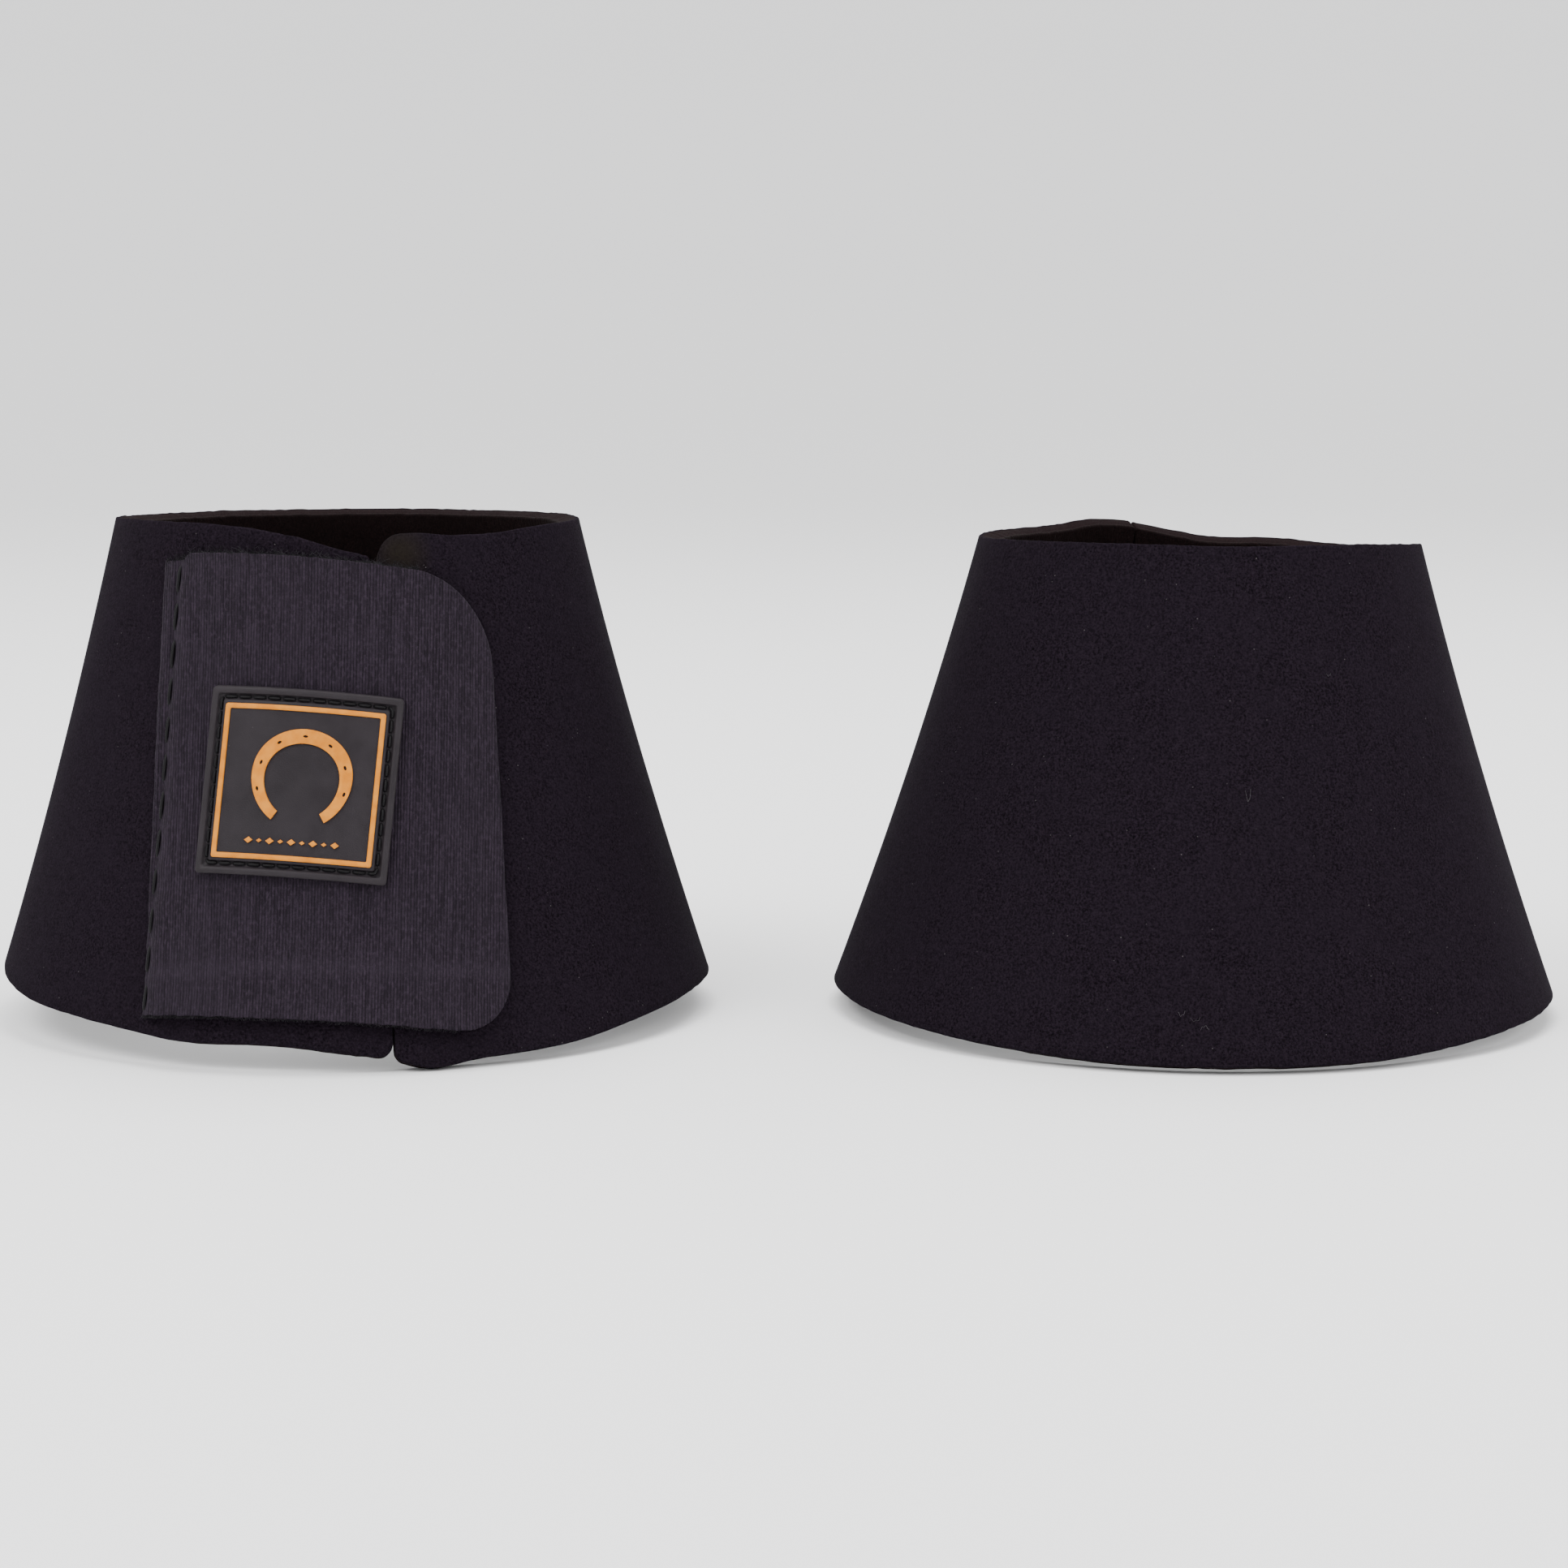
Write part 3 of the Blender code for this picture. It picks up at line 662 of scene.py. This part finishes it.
def strap_grid():
    """Pattern places of the strap, columns by rows: a four-sided piece whose right-hand corners are arcs."""
    corners = [Vector(corner) * MM for corner in STRAP_CORNERS]
    bottom_left, bottom_right, top_right, top_left = corners
    width = (bottom_right - bottom_left).length
    height = (top_right - bottom_right).length
    rise = []
    for radius, from_end in ((BOTTOM_ARC, False), (TOP_ARC, True)):
        angles = np.linspace(0, math.pi / 2, 15)
        steps = radius / height * (1 - np.cos(angles))
        rise.append(1 - steps if from_end else steps)
    middle = np.linspace(rise[0][-1], rise[1][-1], 52)[1:-1]
    up = np.unique(np.concatenate([rise[0], middle, rise[1]]).round(7))
    reach = np.ones_like(up)
    for radius, gap in ((BOTTOM_ARC, up * height), (TOP_ARC, (1 - up) * height)):
        inside = np.clip(radius - gap, 0, radius)
        reach -= (radius - np.sqrt(np.maximum(radius**2 - inside**2, 0))) / width
    cells = [np.linspace(0, 0.012, 3), np.linspace(0.022, 0.14, 17), np.linspace(0.16, 0.985, 56), [0.994, 1.0]]
    across = np.concatenate(cells)[:, None] * reach[None]
    up = np.broadcast_to(up[None], across.shape)
    left = [bottom_left[k] + (top_left[k] - bottom_left[k]) * up for k in (0, 1)]
    right = [bottom_right[k] + (top_right[k] - bottom_right[k]) * up for k in (0, 1)]
    x = left[0] + (right[0] - left[0]) * across
    y = left[1] + (right[1] - left[1]) * across
    return x, y, across, up


def strap_relief(bell, x, y, across, up):
    """How far the strap's face stands outside the shell.

    It is pulled in at the stitches, puffed beside them, and loose at its edges.
    """
    beside = x - seam_x(y) + SEAM_INSET
    stitch = (y - SEAM_START) / SEAM_PITCH
    pull = 0.80 + 0.20 * np.cos(2 * math.pi * stitch)
    face = np.full_like(x, STRAP_FACE)
    face -= 1.05 * MM * pull * np.exp(-((beside / (0.95 * MM)) ** 2))
    face -= 0.35 * MM * smooth(-beside / MM)
    face += 0.42 * MM * np.exp(-(((beside - 3.6 * MM) / (2.2 * MM)) ** 2)) * (0.8 + 0.3 * np.sin(6 * stitch))
    face += 0.26 * MM * ripple(x, y, 17 * MM, bell.seed)
    face += 0.10 * MM * ripple(x, y, 5 * MM, bell.seed + 2)
    held = smooth((x + 33 * MM) / (8 * MM))
    face += 0.75 * MM * np.exp(-up * STRAP_HEIGHT / (5 * MM)) * held
    face += 0.40 * MM * np.exp(-(1 - across) * STRAP_WIDTH / (5 * MM))
    face += 0.25 * MM * np.exp(-(1 - up) * STRAP_HEIGHT / (4 * MM)) * held
    return face


def strap_side_edges(bell, x, y, across, up):
    """Moves the cut edges a little, as scissors and fraying leave them."""
    jitter = ripple(x, y, 1.3 * MM, bell.seed + 7)
    top = smooth((up - 0.985) / 0.015)
    bottom = smooth((0.015 - up) / 0.015)
    main = smooth((x - seam_x(y) - 0.3 * MM) / (1.6 * MM))
    y = y + top * (0.28 * MM * jitter - 1.7 * MM * (1 - main)) + bottom * 0.28 * MM * jitter
    left = smooth((0.02 - across) / 0.02)
    near = np.clip(NIPPED_CORNER - (x - seam_x(y) - 0.3 * MM), 0, NIPPED_CORNER) * (main > 0)
    y = y - top * main * (NIPPED_CORNER - np.sqrt(NIPPED_CORNER**2 - near**2)) * 0.6
    return x + left * 0.22 * MM * ripple(y, x, 1.6 * MM, bell.seed + 9), y


def build_strap(bell):
    x, y, across, up = strap_grid()
    x, y = strap_side_edges(bell, x, y, across, up)
    face = strap_relief(bell, x, y, across, up)
    columns, rows = x.shape
    rounded = 0.16 * MM
    edge = np.zeros_like(x, bool)
    edge[0] = edge[-1] = True
    edge[:, 0] = edge[:, -1] = True
    outer = bell.on_pattern(x, y, face - rounded * edge).reshape(-1, 3)
    under = np.maximum(face - TAPE, 0.3 * MM)
    inner = bell.on_pattern(x, y, under + rounded * edge).reshape(-1, 3)
    count = columns * rows
    faces = strips(columns, rows)
    faces += [tuple(count + v for v in reversed(face)) for face in strips(columns, rows)]
    rim = [i * rows for i in range(columns)] + [(columns - 1) * rows + j for j in range(1, rows)]
    rim += [i * rows + rows - 1 for i in range(columns - 2, -1, -1)] + [j for j in range(rows - 2, 0, -1)]
    for here, after in zip(rim, rim[1:] + rim[:1]):
        faces.append((here, after, count + after, count + here))
    pattern = np.tile(np.stack([x, y], -1).reshape(-1, 2), (2, 1))
    obj = add_mesh(f"{bell.name}_hook_strap", np.vstack([outer, inner]), faces, ["tape"], pattern=pattern)
    low, high = strap_hinge(bell)
    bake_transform(obj)
    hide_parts(*[f"{bell.name}_{node}" for node in ("strap_sewn_edge", "strap_flap")])


def strap_hinge(bell):
    """Two world points across the strap's seam, BEND to either side of it."""
    middle = (SEAM[0][1] + SEAM[1][1]) / 2 * MM
    x = seam_x(middle)
    low, high = (bell.on_pattern(x + shift, middle, STRAP_FACE) for shift in (-BEND, BEND))
    return tuple(low), tuple(high)


def fray(bell):
    """Loose yarn ends along the strap's raw top and bottom edges and round its left corners."""
    chance = random.Random(31 + round(10 * bell.seed))
    x, y, across, up = strap_grid()
    x, y = strap_side_edges(bell, x, y, across, up)
    face = strap_relief(bell, x, y, across, up)
    rows = x.shape[1]
    paths, radii = [], []
    for row, outward, share in ((0, -1, 700), (rows - 1, 1, 620)):
        for _ in range(share):
            column = chance.uniform(0, 1) * (x.shape[0] - 1.001)
            if row == 0 and chance.random() < 0.3:
                column *= 0.35
            i = int(column)
            mix = column - i
            at_x = x[i, row] * (1 - mix) + x[i + 1, row] * mix
            at_y = y[i, row] * (1 - mix) + y[i + 1, row] * mix
            depth = face[i, row] - chance.uniform(0.15, 0.95) * MM
            length = chance.choice((0.25, 0.3, 0.35, 0.45, 0.6, 0.8, 1.1, 1.7)) * MM
            length = min(length, 0.7 * MM if outward < 0 else 1.9 * MM - bell.strap_drop)
            lean, curl = chance.uniform(-0.9, 0.9), chance.uniform(-0.7, 0.7)
            lift = chance.uniform(-0.25, 0.55)
            steps = np.linspace(-0.25, 1, 5)
            px = at_x + length * (lean * steps + curl * steps**2 * np.sign(lean))
            py = at_y + outward * length * steps * (1 - 0.35 * np.abs(curl) * steps)
            out = np.maximum(depth + length * lift * np.maximum(steps, 0), 0.15 * MM)
            paths.append(bell.on_pattern(px, py, out))
            radii.append(min(0.13, 0.05 + 0.03 * MM / length) * MM)
    obj = add_mesh(f"{bell.name}_strap_fray", *tubes(paths, radii), ["fray"])
    low, high = strap_hinge(bell)
    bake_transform(obj)


def seam_stitches(bell):
    """The long stitches that hold the strap's left edge, on its face and inside the boot."""
    levels = np.arange(SEAM_START, SEAM_END - 3 * bell.strap_drop, SEAM_PITCH)
    steps = np.linspace(-0.5, 0.5, 11)
    for name, node, face, reach in (
        ("seam_stitches", "strap_seam_thread", STRAP_FACE - 0.62 * MM, SEAM_STITCH),
        ("bobbin_stitches", "strap_bobbin_thread", -WALL - 0.1 * MM, SEAM_STITCH + MM),
    ):
        paths = []
        for level in levels:
            y = level + SEAM_PITCH / 2 * (node == "strap_bobbin_thread") + reach * steps
            x = seam_x(y) - SEAM_INSET + 0.12 * MM * np.sin(level * 900) + 0.25 * MM * steps
            sink = (np.abs(steps) * 2) ** 4 * 0.75 * MM * math.copysign(1, face)
            paths.append(bell.on_pattern(x, y, face - sink))
        points, faces = tubes(paths, [SEAM_THREAD] * len(paths), 8, 1.0)
        obj = add_mesh(f"{bell.name}_{name}", points, faces, ["thread"])
        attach(obj, f"{bell.name}_strap_wing")
        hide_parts(f"{bell.name}_{node}")


def hook_field(bell):
    """The bent nylon hooks on the strap's inner side."""
    chance = random.Random(57)
    left, bottom, right, top = HOOK_FIELD
    paths = []
    for row, y in enumerate(np.arange(bottom, top, HOOK_SPACING)):
        for x in np.arange(left + HOOK_SPACING / 2 * (row % 2), right, HOOK_SPACING):
            low_corner = math.hypot(max(x - (right - 10 * MM), 0), max(bottom + 10 * MM - y, 0)) > 10 * MM
            high_corner = math.hypot(max(x - (right - 17 * MM), 0), max(y - (top - 14 * MM), 0)) > 15 * MM
            if low_corner or high_corner or x < seam_x(y) + HOOK_MARGIN:
                continue
            way = chance.choice((-1, 1))
            px = x + way * np.array([0.0, 0.0, 0.14, 0.34]) * MM
            out = STRAP_FACE - TAPE - np.array([0.0, 0.42, 0.68, 0.52]) * MM
            paths.append(bell.on_pattern(px, np.full(4, y + chance.uniform(-0.1, 0.1) * MM), out))
    obj = add_mesh(f"{bell.name}_hooks", *tubes(paths, [HOOK_THREAD] * len(paths), 3, 0.8), ["hook"])
    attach(obj, f"{bell.name}_strap")
    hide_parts(f"{bell.name}_strap_hook_field")


# ---- the badge ----


def on_badge(x, y):
    """Pattern coordinates of points of the upright badge."""
    turn = Matrix.Rotation(BADGE_TILT, 2)
    return (
        BADGE_CENTRE.x + turn[0][0] * x + turn[0][1] * y,
        BADGE_CENTRE.y + turn[1][0] * x + turn[1][1] * y,
    )


def badge_ring(inset, radius, per_side=14, per_corner=6):
    """Points of a rounded rectangle inside the badge's outline."""
    wide, high = BADGE_SIZE[0] / 2 - inset, BADGE_SIZE[1] / 2 - inset
    points = []
    for quarter, (sx, sy) in enumerate(((1, 1), (-1, 1), (-1, -1), (1, -1))):
        centre = Vector((sx * (wide - radius), sy * (high - radius)))
        for step in range(per_corner + 1):
            angle = math.pi / 2 * (quarter + step / per_corner)
            points.append(centre + radius * Vector((math.cos(angle), math.sin(angle))))
        ahead = Vector((-sx * (wide - radius), sy * high))
        if quarter % 2:
            ahead = Vector((sx * wide, -sy * (high - radius)))
        start = points[-1]
        points += [start.lerp(ahead, step / per_side) for step in range(1, per_side)]
    return np.array([point[:] for point in points]).T


def badge_loft(bell, name, rings, materials, closed, attributes=None):
    """A surface through rounded rectangles of (inset, corner radius, height above the strap)."""
    places = []
    for inset, radius, height in rings:
        x, y = on_badge(*badge_ring(inset * MM, radius * MM))
        places.append(bell.on_pattern(x, y, np.full_like(x, BADGE_OUT + height * MM)))
    places = np.array(places)
    count, around = places.shape[:2]
    faces = strips(count, around, closed, True)
    if not closed:
        faces.append(tuple(range(around)))
        faces.append(tuple(range((count - 1) * around, count * around)))
    extra = {key: np.repeat(values, around) for key, values in (attributes or {}).items()}
    return add_mesh(f"{bell.name}_{name}", places.reshape(-1, 3), faces, materials, attributes=extra)


def badge_base(bell):
    """The moulded square: a rounded lip, a sunk stitch groove and a flat field."""
    top = BADGE_THICKNESS / MM
    field = (5, 7, 9, 11, 13, 15, 16.5, 17.8, 18.8)
    rings = [(inset, 0.4, 0.0) for inset in reversed(field)] + [(3.0, 0.5, 0.0), (1.5, 0.6, 0.0)]
    rings += [(0.35, 0.7, 0.0), (0.06, 0.85, 0.25), (0.0, 0.95, 0.7), (0.05, 0.95, top - 0.35)]
    rings += [(0.22, 0.9, top - 0.1), (0.5, 0.8, top), (0.95, 0.7, top + 0.02)]
    rings += [(1.35, 0.65, top - 0.02), (1.5, 0.6, top - 0.16)]
    rings += [(1.6, 0.6, top - 0.65), (2.2, 0.55, top - 0.8), (2.75, 0.5, top - 0.65), (2.84, 0.45, top - 0.2)]
    rings += [(3.0, 0.6, top - 0.08), (3.4, 0.5, top - 0.05)]
    rings += [(inset, 0.4, top - 0.06) for inset in field]
    # lip marks the painted highlight on the rubber: 0.7 on the outer edge, 1 along the crest.
    lip = []
    for inset, _, height in rings:
        on_crest = 0.3 < inset < 1.5 and height > 1
        lip.append(0.7 if 0 < inset < 0.3 else float(on_crest))
    return badge_loft(bell, "badge_plate", rings, ["rubber"], False, {"lip": lip}), "badge_base"


def badge_frame(bell):
    top = BADGE_THICKNESS / MM - 0.05
    rings = [(3.5, 0.5, top - 0.1), (3.52, 0.5, top + 0.22), (3.66, 0.45, top + 0.36), (4.05, 0.4, top + 0.40)]
    rings += [(4.42, 0.35, top + 0.36), (4.56, 0.3, top + 0.22), (4.58, 0.3, top - 0.1)]
    obj = badge_loft(bell, "badge_border", rings, ["orange"], True)
    return obj, "badge_frame"


def raised_shape(bell, name, outlines, height):
    """A flat shape with softened edges, cut into strips and laid on the badge's field."""
    soft = 0.13 * MM
    curve = bpy.data.curves.new(name, "CURVE")
    curve.dimensions = "2D"
    curve.fill_mode = "BOTH"
    curve.extrude = height / 2 - soft / 2
    curve.bevel_depth = soft
    curve.bevel_resolution = 1
    curve.offset = -soft
    for outline in outlines:
        spline = curve.splines.new("POLY")
        spline.points.add(len(outline) - 1)
        spline.use_cyclic_u = True
        for point, (x, y) in zip(spline.points, outline):
            point.co = (x, y, 0, 1)
    flat = bpy.data.objects.new(name, curve)
    bpy.context.scene.collection.objects.link(flat)
    bpy.context.view_layer.update()
    mesh = bpy.data.meshes.new_from_object(flat.evaluated_get(bpy.context.evaluated_depsgraph_get()))
    bpy.data.objects.remove(flat)
    bm = bmesh.new()
    bm.from_mesh(mesh)
    bmesh.ops.remove_doubles(bm, verts=bm.verts[:], dist=1e-6)
    reach = int(max(abs(vert.co.x) for vert in bm.verts) / (1.5 * MM))
    for step in range(-reach, reach + 1):
        geometry = bm.verts[:] + bm.edges[:] + bm.faces[:]
        cut = (step * 1.5 * MM, 0, 0)
        bmesh.ops.bisect_plane(bm, geom=geometry, dist=1e-6, plane_co=cut, plane_no=(1, 0, 0))
    flat_points = np.array([vert.co[:] for vert in bm.verts])
    bm.verts.index_update()
    faces = [tuple(vert.index for vert in face.verts) for face in bm.faces]
    bm.free()
    x, y = on_badge(flat_points[:, 0], flat_points[:, 1])
    out = BADGE_OUT + BADGE_THICKNESS - 0.12 * MM + height / 2 + flat_points[:, 2]
    obj = add_mesh(f"{bell.name}_{name}", bell.on_pattern(x, y, out), faces, ["orange"])
    obj.data.set_sharp_from_angle(angle=math.radians(50))
    return obj


def badge_horseshoe(bell):
    """An upright horseshoe, widest at the toe, with its nail holes."""
    first = -math.pi / 2 + SHOE_OPENING / 2
    sweep = 2 * math.pi - SHOE_OPENING
    outer, inner = [], []
    for step in range(49):
        share = step / 48
        angle = first + sweep * share
        web = (2.1 + 0.9 * math.sin(math.pi * share)) * MM
        pull = 1 - 0.05 * math.cos(2 * math.pi * share)
        for points, radius in ((outer, SHOE_RADIUS), (inner, SHOE_RADIUS - web)):
            x = SHOE_CENTRE[0] + radius * pull * math.cos(angle)
            points.append((x, SHOE_CENTRE[1] + radius * math.sin(angle)))
    outlines = [outer + inner[::-1]]
    for nail in range(NAILS):
        share = 0.14 + 0.12 * nail
        angle = first + sweep * share
        middle = SHOE_RADIUS - (1.05 + 0.45 * math.sin(math.pi * share)) * MM
        hole = []
        for corner in range(8):
            turn = corner * math.pi / 4
            along, across = 0.5 * MM * math.cos(turn), 0.27 * MM * math.sin(turn)
            x = SHOE_CENTRE[0] + (middle + across) * math.cos(angle) - along * math.sin(angle)
            hole.append((x, SHOE_CENTRE[1] + (middle + across) * math.sin(angle) + along * math.cos(angle)))
        outlines.append(hole)
    return raised_shape(bell, "badge_emblem", outlines, 0.5 * MM), "badge_horseshoe"


def badge_rule(bell):
    """A row of small lozenges under the horseshoe."""
    outlines = []
    for step in range(-4, 5):
        x, y = step * RULE_PITCH, RULE_LEVEL
        half = (0.85 if step % 2 == 0 else 0.55) * MM
        high = (0.65 if step % 2 == 0 else 0.4) * MM
        outlines.append([(x - half, y), (x, y - high), (x + half, y), (x, y + high)])
    return raised_shape(bell, "badge_lozenges", outlines, 0.42 * MM), "badge_rule"


def badge_stitches(bell):
    """The separate stitches in the badge's groove."""
    ring_x, ring_y = badge_ring(GROOVE_LINE, 0.8 * MM, 40, 8)
    ring = np.stack([np.append(ring_x, ring_x[0]), np.append(ring_y, ring_y[0])], -1)
    lengths = np.append(0, np.cumsum(np.linalg.norm(np.diff(ring, axis=0), axis=1)))
    count = round(lengths[-1] / GROOVE_PITCH)
    paths = []
    for index in range(count):
        steps = np.linspace(-0.5, 0.5, 7)
        at = (lengths[-1] * index / count + GROOVE_STITCH * steps) % lengths[-1]
        x, y = on_badge(np.interp(at, lengths, ring[:, 0]), np.interp(at, lengths, ring[:, 1]))
        sink = (np.abs(steps) * 2) ** 3 * 0.35 * MM
        paths.append(bell.on_pattern(x, y, BADGE_OUT + BADGE_THICKNESS - 0.42 * MM - sink))
    obj = add_mesh(f"{bell.name}_groove_stitches", *tubes(paths, [GROOVE_THREAD] * count, 7, 1.0), ["thread"])
    return obj, "badge_stitching"


def build_badge(bell):
    for make in (badge_base, badge_frame, badge_horseshoe, badge_rule, badge_stitches):
        obj, node = make(bell)
        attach(obj, f"{bell.name}_strap")
        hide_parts(f"{bell.name}_{node}")


# ---- lint ----


def lint(bell, places):
    """A few pale fibres caught in the nap of a boot's back: (degrees, height, length, bend) in millimetres."""
    paths = []
    for degrees, level, length, bend in places:
        steps = np.linspace(-1, 1, 12)
        wide = np.polyval(bell.wide, level * MM)
        turn = math.radians(degrees) + length / 2 * MM * steps / wide
        z = level * MM + bend * MM * steps**2 + 0.2 * MM * np.sin(7 * steps)
        paths.append(bell.place(turn, z, 0.10 * MM))
    obj = add_mesh(f"{bell.name}_lint", *tubes(paths, [0.03 * MM] * len(paths), 3, 1.0), ["lint"])
    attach(obj, f"{bell.name}_back")


# ---- the stage ----


def build_stage():
    """A pale floor that curves up all round, and soft lights from above and both sides."""
    profile_points = [(0, 0), (1.5, 0), (3.0, 0), (3.9, 0.08), (4.6, 0.3), (5.1, 0.7), (5.4, 1.3), (5.5, 2.2)]
    bm = bmesh.new()
    corners = [bm.verts.new((x, 0, z)) for x, z in profile_points]
    edges = [bm.edges.new(pair) for pair in zip(corners, corners[1:])]
    bmesh.ops.spin(bm, geom=corners + edges, axis=(0, 0, 1), cent=(0, 0, 0), angle=math.tau, steps=64)
    bmesh.ops.remove_doubles(bm, verts=bm.verts[:], dist=0.001)
    bmesh.ops.recalc_face_normals(bm, faces=bm.faces[:])
    mesh = bpy.data.meshes.new("studio_floor")
    bm.to_mesh(mesh)
    bm.free()
    mesh.shade_smooth()
    floor = bpy.data.objects.new("studio_floor", mesh)
    bpy.context.scene.collection.objects.link(floor)
    paint = Paint("studio_floor", 0.9, 0.2)
    mesh.materials.append(paint.finish((0.88, 0.88, 0.885)))
    world = bpy.data.worlds.new("studio") if bpy.context.scene.world is None else bpy.context.scene.world
    world.use_nodes = True
    bpy.context.scene.world = world
    background = world.node_tree.nodes["Background"]
    background.inputs["Color"].default_value = (1.0, 1.0, 1.0, 1)
    background.inputs["Strength"].default_value = 1.7
    aim = Vector((0, 0, 0.05))
    for name, place, size, power in (
        ("key_light", (-0.9, -0.9, 1.5), 0.9, 22),
        ("fill_light", (1.3, -0.7, 0.9), 1.0, 10),
        ("top_light", (0.1, 0.4, 1.7), 1.2, 26),
    ):
        light = bpy.data.lights.new(name, "AREA")
        light.energy = power
        light.size = size
        lamp = bpy.data.objects.new(name, light)
        lamp.location = place
        lamp.rotation_euler = (aim - Vector(place)).to_track_quat("-Z", "Y").to_euler()
        bpy.context.scene.collection.objects.link(lamp)


def build_camera():
    camera = bpy.data.cameras.new("camera")
    camera.lens = 74.4
    camera.sensor_width = 36
    camera.clip_start = 0.01
    obj = bpy.data.objects.new("camera", camera)
    obj.location = (0.0021, -0.75, 0.1478)
    obj.rotation_euler = (math.radians(90 - 7.286), 0, 0)
    bpy.context.scene.collection.objects.link(obj)
    bpy.context.scene.camera = obj


# ---- the pair ----

paints = make_materials()
boots = [
    Bell("left", 1, LEFT_HEM, LEFT_RIM, 1.3, half_gaps=(0.07, 0.9), corners=((3.6, 1.2), (1.8, 4.4))),
    Bell("right", -1, RIGHT_HEM, RIGHT_RIM, 4.7, half_gaps=(0.6, 0.12), corners=((3.6, 0.8), (2.2, 0.8))),
]
for boot in boots:
    build_shell(boot)
    build_strap(boot)
    fray(boot)
    seam_stitches(boot)
    hook_field(boot)
    build_badge(boot)
lint(boots[1], LINT)
build_stage()
build_camera()
